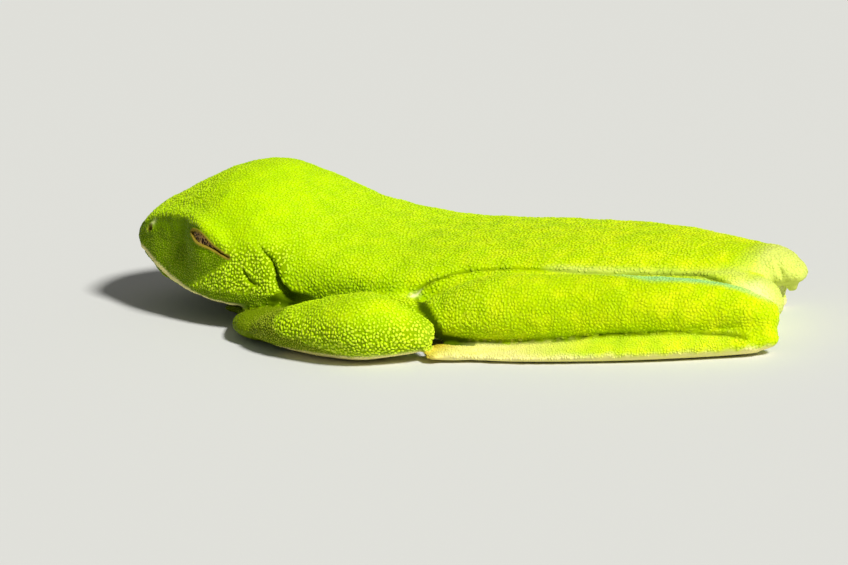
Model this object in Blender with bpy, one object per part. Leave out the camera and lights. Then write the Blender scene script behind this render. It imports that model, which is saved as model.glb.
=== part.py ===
"""A red-eyed tree frog asleep with its limbs tucked in, life size, as solid body parts.

The frog lies on the plane Z = 0 along X, with its snout at -X and its left side at -Y.
Sizes and places are shares of SNOUT_VENT, the length of a frog from snout to vent. Places are given as
(along the body from the snout, out to the side from the middle, up from the ground).
"""

import math

import bmesh
import bpy
from mathutils import Matrix, Vector

SNOUT_VENT = 0.062  # metres
GAP = 0.0003 / SNOUT_VENT  # the thin cut between two neighbouring parts
SIDES = {"left": -1.0, "right": 1.0}  # the sign of Y on each side

# Head and trunk are one shape, which the neck cut parts.
# Columns: along, half width, top, underside, height of the widest line.
BODY = (
    (0.011, 0.036, 0.110, 0.083, 0.093),
    (0.026, 0.058, 0.125, 0.070, 0.087),
    (0.050, 0.080, 0.140, 0.056, 0.075),
    (0.086, 0.104, 0.158, 0.041, 0.060),
    (0.130, 0.127, 0.178, 0.032, 0.049),
    (0.175, 0.146, 0.192, 0.026, 0.043),
    (0.215, 0.158, 0.190, 0.022, 0.040),
    (0.260, 0.163, 0.171, 0.022, 0.046),
    (0.300, 0.159, 0.151, 0.010, 0.058),
    (0.350, 0.158, 0.132, -0.004, 0.070),
    (0.430, 0.162, 0.116, -0.010, 0.070),
    (0.500, 0.160, 0.116, -0.010, 0.066),
    (0.600, 0.150, 0.120, -0.010, 0.064),
    (0.700, 0.132, 0.123, -0.008, 0.064),
    (0.800, 0.110, 0.120, -0.004, 0.064),
    (0.880, 0.085, 0.112, 0.002, 0.062),
    (0.915, 0.063, 0.106, 0.014, 0.060),
    (0.934, 0.036, 0.096, 0.032, 0.062),
)
BODY_BOXINESS = 2.3  # 2 gives an ellipse, more gives squarer shoulders
BODY_RINGS, BODY_SIDES = 26, 24
NECK = 0.300  # where the cut is

# The vent flap and the limbs are tubes with round ends.
# Columns: along, out, up, half width, half height.
VENT_FLAP = (
    (0.885, 0.000, 0.084, 0.048, 0.028),
    (0.926, 0.000, 0.084, 0.044, 0.027),
    (0.957, 0.000, 0.078, 0.032, 0.023),
)
UPPER_ARM = (
    (0.380, 0.118, 0.042, 0.036, 0.028),
    (0.440, 0.146, 0.040, 0.034, 0.028),
    (0.510, 0.184, 0.038, 0.032, 0.028),
)
FOREARM = (
    (0.533, 0.242, 0.036, 0.045, 0.038),
    (0.478, 0.253, 0.045, 0.053, 0.047),
    (0.412, 0.240, 0.038, 0.049, 0.040),
    (0.352, 0.222, 0.031, 0.049, 0.032),
    (0.296, 0.196, 0.022, 0.047, 0.024),
)
PALM = (
    (0.312, 0.203, 0.022, 0.046, 0.024),
    (0.272, 0.166, 0.018, 0.045, 0.020),
    (0.224, 0.107, 0.011, 0.034, 0.013),
)
THIGH = (
    (0.943, 0.065, 0.057, 0.044, 0.048),
    (0.820, 0.086, 0.052, 0.044, 0.044),
    (0.700, 0.110, 0.048, 0.040, 0.040),
    (0.580, 0.132, 0.048, 0.034, 0.034),
)
SHANK = (
    (0.516, 0.176, 0.035, 0.044, 0.035),
    (0.600, 0.161, 0.050, 0.049, 0.050),
    (0.720, 0.150, 0.054, 0.043, 0.046),
    (0.850, 0.137, 0.060, 0.038, 0.040),
    (0.930, 0.125, 0.060, 0.032, 0.032),
    (0.972, 0.116, 0.048, 0.031, 0.031),
)
SOLE = (
    (0.974, 0.120, 0.020, 0.028, 0.025),
    (0.860, 0.150, 0.016, 0.040, 0.020),
    (0.760, 0.174, 0.011, 0.043, 0.015),
    (0.655, 0.197, 0.007, 0.046, 0.009),
    (0.590, 0.209, 0.006, 0.044, 0.008),
)

# Fingers and toes, the innermost first: (along, out) of the root in the palm or sole, and of the tip.
FINGERS = (
    ((0.262, 0.112), (0.234, 0.036)),
    ((0.250, 0.106), (0.196, 0.024)),
    ((0.242, 0.114), (0.163, 0.034)),
    ((0.240, 0.126), (0.158, 0.062)),
)
TOES = (
    ((0.635, 0.182), (0.560, 0.168)),
    ((0.625, 0.194), (0.545, 0.188)),
    ((0.620, 0.207), (0.535, 0.209)),
    ((0.620, 0.220), (0.540, 0.229)),
    ((0.620, 0.233), (0.552, 0.249)),
)
DIGIT_HALF_WIDTH, DIGIT_HALF_HEIGHT = 0.0090, 0.0085
DISC_HALF_WIDTH, DISC_HALF_HEIGHT = 0.0160, 0.0075
DIGIT_UP = 0.0070  # height of the innermost digit's middle line, low enough for a flat underside
DIGIT_STEP = 0.0006  # each next digit lies this much higher

# How the limbs of each side lie: drawn forward by, share of their width out kept, let down by.
POSE = {
    "left": (0.0, 1.0, 0.0),
    "right": (0.088, 0.84, 0.011),
}

EYE = (0.178, 0.090, 0.100)
EYE_RADIUS = 0.045
LID = 0.0085  # thickness of the closed lids over the eyeball
SLIT = (
    (0.140, 0.108, 0.124, 0.004, 0.006),
    (0.162, 0.134, 0.117, 0.012, 0.010),
    (0.188, 0.148, 0.108, 0.008, 0.012),
    (0.214, 0.150, 0.100, 0.004, 0.006),
)

# Base colour (linear) and roughness.
MATERIALS = {
    "leaf_green_skin": ((0.33, 0.62, 0.01), 0.45),
    "pale_foot_skin": ((0.62, 0.66, 0.16), 0.45),
    "closed_eye": ((0.09, 0.05, 0.01), 0.30),
}


def place(along, out, up, side=1.0):
    """A point as a share of SNOUT_VENT, with X measured from half way along the body."""
    return Vector((along - 0.5, side * out, up))


def between(rows, share):
    """The row at a share (0 to 1) of the way through a table, on a smooth curve through its rows."""
    last = len(rows) - 1
    at = min(max(share, 0.0), 1.0) * last
    i = min(int(at), last - 1)
    t = at - i
    before, here, there, after = (rows[min(max(i + k, 0), last)] for k in (-1, 0, 1, 2))
    return [
        b + 0.5 * t * (c - a + t * (2 * a - 5 * b + 4 * c - d + t * (3 * (b - c) + d - a)))
        for a, b, c, d in zip(before, here, there, after)
    ]


def boxy(base, power):
    """A sine or cosine pushed outwards, for a squarer section."""
    return math.copysign(abs(base) ** (2.0 / power), base)


def wrap(name, rings, sides, surface, material="leaf_green_skin"):
    """A closed skin: a globe whose points go to surface(share of the way from pole to pole, angle)."""
    bm = bmesh.new()
    bmesh.ops.create_uvsphere(bm, u_segments=sides, v_segments=rings, radius=1.0)
    for vert in bm.verts:
        share = math.acos(min(max(vert.co.z, -1.0), 1.0)) / math.pi
        vert.co = surface(share, math.atan2(vert.co.y, vert.co.x))
    bmesh.ops.triangulate(bm, faces=bm.faces)
    if bm.calc_volume(signed=True) < 0:
        bmesh.ops.reverse_faces(bm, faces=bm.faces)
    mesh = bpy.data.meshes.new(name)
    bm.to_mesh(mesh)
    bm.free()
    mesh.materials.append(bpy.data.materials[material])
    obj = bpy.data.objects.new(name, mesh)
    bpy.context.scene.collection.objects.link(obj)
    return obj


def body_surface(share, angle):
    """Head and trunk: squarish sections on the stations of BODY."""
    spread = 0.5 * (1.0 - math.cos(math.pi * share))
    along, half_width, top, under, widest = between(BODY, 0.45 * share + 0.55 * spread)
    closing = math.sqrt(max(0.0, 1.0 - (2.0 * share - 1.0) ** 20))
    across = boxy(math.cos(angle), BODY_BOXINESS)
    rise = boxy(math.sin(angle), BODY_BOXINESS)
    middle = 0.5 * (top + under)
    seam = middle + closing * (widest - middle)
    height = (top - widest) if rise > 0 else (widest - under)
    return place(along, closing * half_width * across, seam + closing * height * rise)


def tube_surface(rows, grow, side):
    """A limb along rows, with round ends, made fatter and longer by grow."""

    def surface(share, angle):
        spread = 0.5 * (1.0 - math.cos(math.pi * share))
        row = between(rows, spread)
        behind, ahead = between(rows, spread - 0.01), between(rows, spread + 0.01)
        along = (Vector(ahead[:3]) - Vector(behind[:3])).normalized()
        across = along.cross(Vector((0, 0, 1))).normalized()
        rise = across.cross(along)
        closing = math.sqrt(max(0.0, math.sin(math.pi * share)))
        end = math.copysign(abs(2.0 * spread - 1.0) ** 8, spread - 0.5)
        centre = Vector(row[:3]) + along * end * (0.6 * row[3] + grow)
        edge = across * math.cos(angle) * (row[3] + grow) + rise * math.sin(angle) * (row[4] + grow)
        return place(*(centre + closing * edge), side)

    return surface


def ball_surface(centre, radius, side):
    def surface(share, angle):
        around = math.sin(math.pi * share)
        offset = Vector(
            (math.cos(math.pi * share), around * math.cos(angle), around * math.sin(angle))
        )
        return place(*(Vector(centre) + radius * offset), side)

    return surface


def posed(rows, side):
    """The rows of a limb as it lies on that side."""
    forward, kept, down = POSE["left" if side < 0 else "right"]
    return [(row[0] - forward, row[1] * kept, row[2] - down, *row[3:]) for row in rows]


def combine(obj, other, operation):
    """Joins other into obj, or cuts it from obj, and removes it."""
    step = obj.modifiers.new(operation.lower(), "BOOLEAN")
    step.operation = operation
    step.object = other
    graph = bpy.context.evaluated_depsgraph_get()
    old = obj.data
    obj.data = bpy.data.meshes.new_from_object(obj.evaluated_get(graph))
    obj.modifiers.clear()
    bpy.data.meshes.remove(old)
    bpy.data.objects.remove(other)


def cut_flat(obj, point, normal):
    """Takes away what lies on the normal's side of a plane, and closes the cut with a flat face."""
    bm = bmesh.new()
    bm.from_mesh(obj.data)
    everything = [*bm.verts, *bm.edges, *bm.faces]
    cut = bmesh.ops.bisect_plane(
        bm, geom=everything, plane_co=point, plane_no=normal, clear_outer=True, dist=1e-6
    )
    rim = [e for e in cut["geom_cut"] if isinstance(e, bmesh.types.BMEdge) and e.is_boundary]
    bmesh.ops.holes_fill(bm, edges=rim, sides=0)
    bmesh.ops.triangulate(bm, faces=[f for f in bm.faces if len(f.verts) > 4])
    bm.to_mesh(obj.data)
    bm.free()


def stand_on_ground(obj):
    cut_flat(obj, Vector((0, 0, 0)), Vector((0, 0, -1)))


def make_tube(rows, rings, sides):
    """A maker of one limb part, for either side and any growth."""

    def make(name, side, grow=0.0):
        return wrap(name, rings, sides, tube_surface(posed(rows, side), grow, side))

    return make


def digit_rows(root, tip, up):
    """A finger or toe: even along its length, then a round flat disc at the tip."""
    root, tip = Vector((*root, up)), Vector((*tip, up))
    slim = (DIGIT_HALF_WIDTH, DIGIT_HALF_HEIGHT)
    reach = (tip - root).normalized() * DISC_HALF_WIDTH
    return [
        (*root, *slim),
        (*root.lerp(tip, 0.35), *slim),
        (*root.lerp(tip, 0.72), 0.9 * slim[0], 0.9 * slim[1]),
        (*(tip - reach), DISC_HALF_WIDTH, DISC_HALF_HEIGHT),
        (*(tip - 0.35 * reach), 0.86 * DISC_HALF_WIDTH, DISC_HALF_HEIGHT),
    ]


def make_paw(rows, digits):
    """A maker of a hand or foot: its palm or sole with the digits joined on."""

    def make(name, side, grow=0.0):
        skin = "pale_foot_skin"
        paw = wrap(name, 8, 12, tube_surface(posed(rows, side), grow, side), skin)
        let_down = POSE["left" if side < 0 else "right"][2]
        for n, (root, tip) in enumerate(digits):
            up = DIGIT_UP + n * DIGIT_STEP + let_down
            digit = posed(digit_rows(root, tip, up), side)
            combine(paw, wrap("digit", 7, 6, tube_surface(digit, grow, side), skin), "UNION")
        return paw

    return make


LIMB_PARTS = {
    "foot": make_paw(SOLE, TOES),
    "shank": make_tube(SHANK, 12, 14),
    "thigh": make_tube(THIGH, 9, 12),
    "hand": make_paw(PALM, FINGERS),
    "forearm": make_tube(FOREARM, 11, 14),
    "upper_arm": make_tube(UPPER_ARM, 7, 10),
}
# Where two parts press together, the part on the left here gives way to those on the right.
GIVES_WAY_TO = {
    "foot": (),
    "shank": ("foot",),
    "thigh": ("foot", "shank"),
    "hand": (),
    "forearm": ("hand", "foot", "shank"),
    "upper_arm": ("hand", "forearm", "foot", "shank", "thigh"),
}


def make_limbs(side_name, side):
    for part, neighbours in GIVES_WAY_TO.items():
        limb = LIMB_PARTS[part](f"{part}_{side_name}", side)
        for neighbour in neighbours:
            combine(limb, LIMB_PARTS[neighbour]("cutter", side, GAP), "DIFFERENCE")
        stand_on_ground(limb)


def make_body():
    """Head and trunk in one, with the eyes' mounds and the vent flap, cut clear of the limbs."""
    body = wrap("trunk", BODY_RINGS, BODY_SIDES, body_surface)
    for side in SIDES.values():
        combine(body, wrap("mound", 8, 12, ball_surface(EYE, EYE_RADIUS + GAP + LID, side)), "UNION")
    combine(body, wrap("vent_flap", 8, 12, tube_surface(VENT_FLAP, 0.0, 1.0)), "UNION")
    for side in SIDES.values():
        for make in LIMB_PARTS.values():
            combine(body, make("cutter", side, GAP), "DIFFERENCE")
    stand_on_ground(body)
    return body


def cut_neck(body):
    """Leaves the trunk behind the neck cut, and returns the head in front of it."""
    head = bpy.data.objects.new("head", body.data.copy())
    bpy.context.scene.collection.objects.link(head)
    cut_flat(head, place(NECK - 0.5 * GAP, 0, 0), Vector((1, 0, 0)))
    cut_flat(body, place(NECK + 0.5 * GAP, 0, 0), Vector((-1, 0, 0)))
    return head


def make_eyes(head):
    """The eyeballs in their sockets, seen through the slit between the lids."""
    for side_name, side in SIDES.items():
        combine(head, wrap("socket", 7, 12, ball_surface(EYE, EYE_RADIUS + GAP, side)), "DIFFERENCE")
        combine(head, wrap("slit", 7, 8, tube_surface(SLIT, 0.0, side)), "DIFFERENCE")
        wrap(f"eye_{side_name}", 7, 12, ball_surface(EYE, EYE_RADIUS, side), "closed_eye")


def make_materials():
    for name, (colour, roughness) in MATERIALS.items():
        material = bpy.data.materials.new(name)
        material.use_nodes = True
        shader = material.node_tree.nodes["Principled BSDF"]
        shader.inputs["Base Color"].default_value = (*colour, 1.0)
        shader.inputs["Roughness"].default_value = roughness
        shader.inputs["Metallic"].default_value = 0.0


def bring_to_size():
    """Scales everything to metres, centred on its bounding box, and shades it smooth."""
    objects = list(bpy.context.scene.objects)
    for obj in objects:
        obj.data.transform(Matrix.Scale(SNOUT_VENT, 4))
    points = [vert.co for obj in objects for vert in obj.data.vertices]
    middle = [0.5 * (min(p[i] for p in points) + max(p[i] for p in points)) for i in (0, 1)]
    for obj in objects:
        obj.data.transform(Matrix.Translation((-middle[0], -middle[1], 0.0)))
        obj.data.shade_smooth()
        obj.data.set_sharp_from_angle(angle=math.radians(35))


def main():
    for obj in list(bpy.data.objects):
        bpy.data.objects.remove(obj)
    make_materials()
    for side_name, side in SIDES.items():
        make_limbs(side_name, side)
    make_eyes(cut_neck(make_body()))
    bring_to_size()


main()
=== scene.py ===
"""The looks of a red-eyed tree frog asleep with its limbs tucked in, life size.

One skin is modelled over clay forms that repeat the solids' tables, and folds are pressed into it.
Granules are set all over its back, cheeks and legs, and finer ones on its face, hands and feet.
Forms are worked in shares of SNOUT_VENT, as (along the body from the snout, out to the side from
the middle, up from the ground), and brought to metres at the end.
"""

import math

import bmesh
import bpy
import numpy as np
from mathutils import Matrix, Vector, kdtree, noise


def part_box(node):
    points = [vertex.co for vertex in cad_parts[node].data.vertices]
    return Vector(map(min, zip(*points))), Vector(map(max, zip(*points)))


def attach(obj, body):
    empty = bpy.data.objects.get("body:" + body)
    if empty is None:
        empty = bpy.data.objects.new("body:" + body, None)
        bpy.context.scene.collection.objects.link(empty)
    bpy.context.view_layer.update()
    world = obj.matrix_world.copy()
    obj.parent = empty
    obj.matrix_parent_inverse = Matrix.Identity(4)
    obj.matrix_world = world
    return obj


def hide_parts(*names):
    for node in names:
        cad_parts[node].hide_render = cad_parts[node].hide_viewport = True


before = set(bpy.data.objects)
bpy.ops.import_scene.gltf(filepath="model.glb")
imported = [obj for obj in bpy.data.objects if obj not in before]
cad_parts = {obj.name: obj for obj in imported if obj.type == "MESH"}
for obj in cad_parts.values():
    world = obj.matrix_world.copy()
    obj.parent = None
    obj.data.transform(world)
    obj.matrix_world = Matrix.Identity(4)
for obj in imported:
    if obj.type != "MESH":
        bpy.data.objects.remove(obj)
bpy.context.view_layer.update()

SNOUT_VENT = 0.062  # metres
MM = 0.001 / SNOUT_VENT  # one millimetre as a share of SNOUT_VENT
SIDES = {"left": -1.0, "right": 1.0}  # the sign of Y on each side

COAT = 0.12 * MM  # the granules stand this high, so the bare skin lies this far inside the solids
CLAY_GRAIN = 0.262 * MM  # size of the faces that the clay's skin is made of

# Head and trunk. Columns: along, half width, top, underside, height of the widest line.
BODY = (
    (0.011, 0.036, 0.110, 0.083, 0.093),
    (0.026, 0.058, 0.125, 0.070, 0.087),
    (0.050, 0.080, 0.140, 0.056, 0.075),
    (0.086, 0.104, 0.158, 0.041, 0.060),
    (0.130, 0.127, 0.178, 0.032, 0.049),
    (0.175, 0.146, 0.192, 0.026, 0.043),
    (0.215, 0.158, 0.190, 0.022, 0.040),
    (0.260, 0.163, 0.171, 0.022, 0.046),
    (0.300, 0.159, 0.151, 0.010, 0.058),
    (0.350, 0.158, 0.132, -0.004, 0.070),
    (0.430, 0.162, 0.116, -0.010, 0.070),
    (0.500, 0.160, 0.116, -0.010, 0.066),
    (0.600, 0.150, 0.120, -0.010, 0.064),
    (0.700, 0.132, 0.123, -0.008, 0.064),
    (0.800, 0.110, 0.120, -0.004, 0.064),
    (0.880, 0.085, 0.112, 0.002, 0.062),
    (0.915, 0.063, 0.106, 0.014, 0.060),
    (0.934, 0.036, 0.096, 0.032, 0.062),
)
BODY_BOXINESS = 2.3

# Tubes with round ends. Columns: along, out, up, half width, half height.
VENT_FLAP = (
    (0.885, 0.000, 0.084, 0.048, 0.028),
    (0.926, 0.000, 0.084, 0.044, 0.027),
    (0.957, 0.000, 0.078, 0.032, 0.023),
)
UPPER_ARM = (
    (0.380, 0.118, 0.042, 0.036, 0.028),
    (0.440, 0.146, 0.040, 0.034, 0.028),
    (0.510, 0.184, 0.038, 0.032, 0.028),
)
FOREARM = (
    (0.533, 0.242, 0.036, 0.045, 0.038),
    (0.478, 0.253, 0.045, 0.053, 0.047),
    (0.412, 0.240, 0.038, 0.049, 0.040),
    (0.352, 0.222, 0.031, 0.049, 0.032),
    (0.296, 0.196, 0.022, 0.047, 0.024),
)
PALM = (
    (0.312, 0.203, 0.022, 0.046, 0.024),
    (0.272, 0.166, 0.018, 0.045, 0.020),
    (0.224, 0.107, 0.011, 0.034, 0.013),
)
THIGH = (
    (0.943, 0.065, 0.057, 0.044, 0.048),
    (0.820, 0.086, 0.052, 0.044, 0.044),
    (0.700, 0.110, 0.048, 0.040, 0.040),
    (0.580, 0.132, 0.048, 0.034, 0.034),
)
SHANK = (
    (0.516, 0.176, 0.035, 0.044, 0.035),
    (0.600, 0.161, 0.050, 0.049, 0.050),
    (0.720, 0.150, 0.054, 0.043, 0.046),
    (0.850, 0.137, 0.060, 0.038, 0.040),
    (0.930, 0.125, 0.060, 0.032, 0.032),
    (0.972, 0.116, 0.048, 0.031, 0.031),
)
SOLE = (
    (0.974, 0.120, 0.020, 0.028, 0.025),
    (0.860, 0.150, 0.016, 0.040, 0.020),
    (0.760, 0.174, 0.011, 0.043, 0.015),
    (0.655, 0.197, 0.007, 0.046, 0.009),
    (0.590, 0.209, 0.006, 0.044, 0.008),
)
# Fingers and toes: (along, out) of the root and of the tip.
FINGERS = (
    ((0.262, 0.112), (0.234, 0.036)),
    ((0.250, 0.106), (0.196, 0.024)),
    ((0.242, 0.114), (0.163, 0.034)),
    ((0.240, 0.126), (0.158, 0.062)),
)
TOES = (
    ((0.635, 0.182), (0.560, 0.168)),
    ((0.625, 0.194), (0.545, 0.188)),
    ((0.620, 0.207), (0.535, 0.209)),
    ((0.620, 0.220), (0.540, 0.229)),
    ((0.620, 0.233), (0.552, 0.249)),
)
DIGIT_HALF_WIDTH, DIGIT_HALF_HEIGHT = 0.0090, 0.0085
DISC_HALF_WIDTH, DISC_HALF_HEIGHT = 0.0160, 0.0075
DIGIT_UP, DIGIT_STEP = 0.0070, 0.0006

# The limbs of each side: drawn forward by, share of their width out kept, let down by.
POSE = {"left": (0.0, 1.0, 0.0), "right": (0.088, 0.84, 0.011)}

EYE = (0.178, 0.090, 0.100)
EYE_FACING = (-0.04, 0.93, 0.36)  # the way it looks
EYE_RADIUS = 0.045
LID = 0.0085

# Folds and lines on the head, the same on both sides. Columns: along, out, up, half width, depth
# (less than 0 for a ridge).
SNOUT_EDGE = (
    (0.036, 0.045, 0.119, 0.006, -0.0015),
    (0.056, 0.054, 0.128, 0.008, -0.0030),
    (0.090, 0.075, 0.136, 0.009, -0.0045),
    (0.126, 0.097, 0.140, 0.010, -0.0050),
    (0.160, 0.122, 0.138, 0.010, -0.0050),
    (0.184, 0.136, 0.129, 0.009, -0.0045),
    (0.202, 0.142, 0.116, 0.007, -0.0030),
    (0.218, 0.147, 0.106, 0.006, -0.0010),
)
CHEEK_HOLLOW = (
    (0.046, 0.070, 0.100, 0.014, 0.0020),
    (0.080, 0.094, 0.100, 0.020, 0.0060),
    (0.112, 0.112, 0.102, 0.022, 0.0070),
    (0.140, 0.126, 0.102, 0.018, 0.0040),
)
LIP = (
    (0.009, 0.000, 0.083, 0.0026, -0.0014),
    (0.016, 0.035, 0.084, 0.0026, -0.0014),
    (0.033, 0.064, 0.083, 0.0026, -0.0014),
    (0.054, 0.082, 0.075, 0.0028, -0.0016),
    (0.077, 0.097, 0.066, 0.0028, -0.0016),
    (0.110, 0.113, 0.054, 0.0028, -0.0016),
    (0.150, 0.130, 0.042, 0.0028, -0.0016),
    (0.195, 0.148, 0.034, 0.0028, -0.0016),
    (0.232, 0.156, 0.034, 0.0030, -0.0012),
    (0.256, 0.159, 0.037, 0.0026, -0.0003),
    (0.280, 0.157, 0.043, 0.0026, 0.0),
)
MOUTH_BELOW_LIP = 0.0052  # the mouth's line lies this far under the lip
MOUTH_WIDTH, MOUTH_DEPTH = 0.0016, 0.0045
EARDRUM = (0.262, 0.157, 0.085)
EARDRUM_RADIUS = 0.0200
EARDRUM_EDGE = (
    (0.2373, 0.1536, 0.0920, 0.0018, 0.0005),
    (0.2385, 0.1556, 0.0830, 0.0026, 0.0048),
    (0.2450, 0.1583, 0.0750, 0.0030, 0.0066),
    (0.2545, 0.1597, 0.0685, 0.0026, 0.0050),
    (0.2680, 0.1597, 0.0650, 0.0020, 0.0008),
)
CHEEK_FOLD = (
    (0.256, 0.142, 0.116, 0.0020, 0.0010),
    (0.267, 0.145, 0.109, 0.0026, 0.0050),
    (0.278, 0.148, 0.101, 0.0030, 0.0080),
    (0.286, 0.153, 0.090, 0.0034, 0.0100),
    (0.291, 0.157, 0.073, 0.0042, 0.0120),
    (0.297, 0.157, 0.060, 0.0056, 0.0130),
    (0.309, 0.155, 0.048, 0.0064, 0.0110),
    (0.335, 0.160, 0.046, 0.0050, 0.0040),
)
CHEEK_FOLD_BROW = (
    (0.240, 0.140, 0.118, 0.008, -0.0004),
    (0.258, 0.147, 0.106, 0.009, -0.0014),
    (0.270, 0.154, 0.092, 0.010, -0.0020),
    (0.277, 0.160, 0.074, 0.010, -0.0026),
    (0.278, 0.161, 0.060, 0.010, -0.0024),
)
NOSTRIL = (0.053, 0.061, 0.1085)
# The line between the closed lids. Columns: along, out, up, half of the gap between the lids.
LID_LINE = (
    (0.1470, 0.1225, 0.1240, 0.0002),
    (0.1535, 0.1280, 0.1232, 0.0028),
    (0.1625, 0.1330, 0.1202, 0.0056),
    (0.1720, 0.1370, 0.1162, 0.0052),
    (0.1810, 0.1398, 0.1118, 0.0026),
    (0.1900, 0.1412, 0.1070, 0.0010),
    (0.2010, 0.1438, 0.1022, 0.0007),
    (0.2140, 0.1475, 0.0975, 0.0003),
)
LID_RIM = 0.0038  # width of the gold rim round the gap
EYE_SKIN = 0.0490  # the membrane behind the lids lies this far from the middle of the eye
LID_CLEAR = 0.0022  # the lids lie this far outside it, and the skin in their gap this far inside

# Where a leg presses against the trunk, a groove is pressed in, with painted shade along it.
# Columns as above.
LEG_SEAM = (
    (0.494, 0.159, 0.067, 0.0030, 0.0020),
    (0.508, 0.155, 0.077, 0.0028, 0.0040),
    (0.526, 0.147, 0.085, 0.0025, 0.0040),
    (0.558, 0.134, 0.0925, 0.0023, 0.0032),
    (0.616, 0.1231, 0.0944, 0.0021, 0.0028),
    (0.657, 0.1193, 0.0947, 0.0020, 0.0024),
    (0.738, 0.1119, 0.0927, 0.0020, 0.0022),
    (0.789, 0.1015, 0.0913, 0.0024, 0.0030),
    (0.852, 0.0887, 0.0897, 0.0028, 0.0045),
    (0.888, 0.0916, 0.0876, 0.0028, 0.0045),
    (0.907, 0.0945, 0.0820, 0.0030, 0.0030),
)
# The groove between shank and sole: pressed in, with painted shade along it. Columns: along, out, up, half
# width, strength of the shade, which also sets how deep it is pressed.
FOOT_CREASE = (
    (0.573, 0.193, 0.0145, 0.0040, 0.9),
    (0.615, 0.190, 0.0160, 0.0036, 0.9),
    (0.657, 0.189, 0.0185, 0.0034, 0.9),
    (0.713, 0.186, 0.0235, 0.0032, 0.9),
    (0.766, 0.178, 0.0297, 0.0030, 0.9),
    (0.818, 0.171, 0.0325, 0.0028, 0.9),
    (0.870, 0.163, 0.0350, 0.0026, 0.8),
    (0.920, 0.151, 0.0330, 0.0036, 0.9),
    (0.940, 0.147, 0.0305, 0.0040, 0.9),
    (0.953, 0.144, 0.0260, 0.0034, 0.6),
)
VENT_CREASE = (
    (0.942, 0.023, 0.099, 0.0026, 0.0005),
    (0.948, 0.025, 0.092, 0.0028, 0.0028),
    (0.951, 0.025, 0.082, 0.0030, 0.0036),
    (0.953, 0.021, 0.070, 0.0030, 0.0020),
)
VENT_TIP = (
    (0.951, 0.004, 0.055, 0.0050, -0.0070),
    (0.957, 0.003, 0.055, 0.0045, -0.0070),
)
# Painted shade in the deep corners, where little light reaches: behind the jaw, and between elbow
# and knee. Columns: along, out, up, half width, strength.
JAW_CORNER_SHADE = (
    (0.268, 0.160, 0.041, 0.004, 0.4),
    (0.280, 0.156, 0.042, 0.006, 0.8),
    (0.290, 0.156, 0.051, 0.006, 0.9),
    (0.296, 0.152, 0.045, 0.009, 1.0),
    (0.306, 0.147, 0.042, 0.010, 1.0),
    (0.326, 0.150, 0.045, 0.008, 0.7),
)
KNEE_CORNER_SHADE = (
    (0.499, 0.162, 0.060, 0.0030, 0.6),
    (0.509, 0.174, 0.058, 0.0050, 1.0),
    (0.524, 0.192, 0.056, 0.0065, 1.0),
    (0.533, 0.199, 0.052, 0.0065, 1.0),
    (0.540, 0.202, 0.045, 0.0065, 1.0),
    (0.544, 0.203, 0.038, 0.0070, 1.0),
    (0.545, 0.201, 0.029, 0.0080, 1.0),
    (0.546, 0.194, 0.020, 0.0090, 1.0),
    (0.567, 0.192, 0.014, 0.0080, 1.0),
    (0.590, 0.197, 0.015, 0.0060, 0.8),
)
# Pale bare skin in the fold over the elbow and beside the heel. Columns: along, out, up, half
# width, strength.
PALE_SKIN = (
    (
        (0.4915, 0.1618, 0.0632, 0.0036, 1.0),
        (0.4965, 0.1590, 0.0655, 0.0032, 1.0),
        (0.5031, 0.1553, 0.0700, 0.0016, 1.0),
    ),
    (
        (0.934, 0.110, 0.088, 0.0050, 0.2),
        (0.950, 0.110, 0.082, 0.0080, 0.5),
        (0.968, 0.110, 0.075, 0.0090, 0.6),
    ),
    (
        (0.908, 0.092, 0.085, 0.0070, 0.2),
        (0.926, 0.089, 0.081, 0.0110, 0.5),
        (0.945, 0.087, 0.074, 0.0120, 0.6),
        (0.957, 0.086, 0.064, 0.0100, 0.5),
    ),
)
# The strip of blue skin on top of the shank, and the pale skin along the seam. Columns as above.
BLUE_SEAM = (
    (0.750, 0.130, 0.0975, 0.0080, 0.3),
    (0.790, 0.128, 0.0970, 0.0160, 0.7),
    (0.830, 0.127, 0.0965, 0.0190, 1.0),
    (0.866, 0.120, 0.0950, 0.0200, 1.0),
    (0.897, 0.114, 0.0910, 0.0190, 1.0),
    (0.924, 0.116, 0.0890, 0.0150, 0.9),
    (0.948, 0.119, 0.0850, 0.0100, 0.6),
    (0.964, 0.119, 0.0790, 0.0060, 0.3),
)
PALE_SEAM = (
    (0.660, 0.1175, 0.0980, 0.003, 0.2),
    (0.680, 0.1160, 0.0978, 0.0055, 0.7),
    (0.720, 0.1120, 0.0965, 0.006, 0.9),
    (0.785, 0.1010, 0.0945, 0.006, 0.7),
    (0.860, 0.0850, 0.0920, 0.010, 0.5),
    (0.915, 0.0700, 0.0860, 0.016, 0.8),
)


def frame_origin():
    """Where along 0, out 0, up 0 lies in metres: half way between the eyes, less their place."""
    middle = sum((sum(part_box(f"eye_{side}"), Vector()) / 2 for side in SIDES), Vector()) / 2
    return Vector((middle.x - EYE[0] * SNOUT_VENT, middle.y, 0.0))


ORIGIN = frame_origin()


def on_side(point, side):
    """A place drawn for the right side, moved over to the left if side is -1."""
    return (point[0], point[1] * side, point[2])


def between(rows, share):
    """The row at a share (0 to 1) of the way through a table, on a smooth curve through its rows."""
    last = len(rows) - 1
    at = min(max(share, 0.0), 1.0) * last
    i = min(int(at), last - 1)
    t = at - i
    before, here, there, after = (rows[min(max(i + k, 0), last)] for k in (-1, 0, 1, 2))
    return [
        b + 0.5 * t * (c - a + t * (2 * a - 5 * b + 4 * c - d + t * (3 * (b - c) + d - a)))
        for a, b, c, d in zip(before, here, there, after)
    ]


def boxy(base, power):
    """A sine or cosine pushed outwards, for a squarer section."""
    return math.copysign(abs(base) ** (2.0 / power), base)


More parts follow.
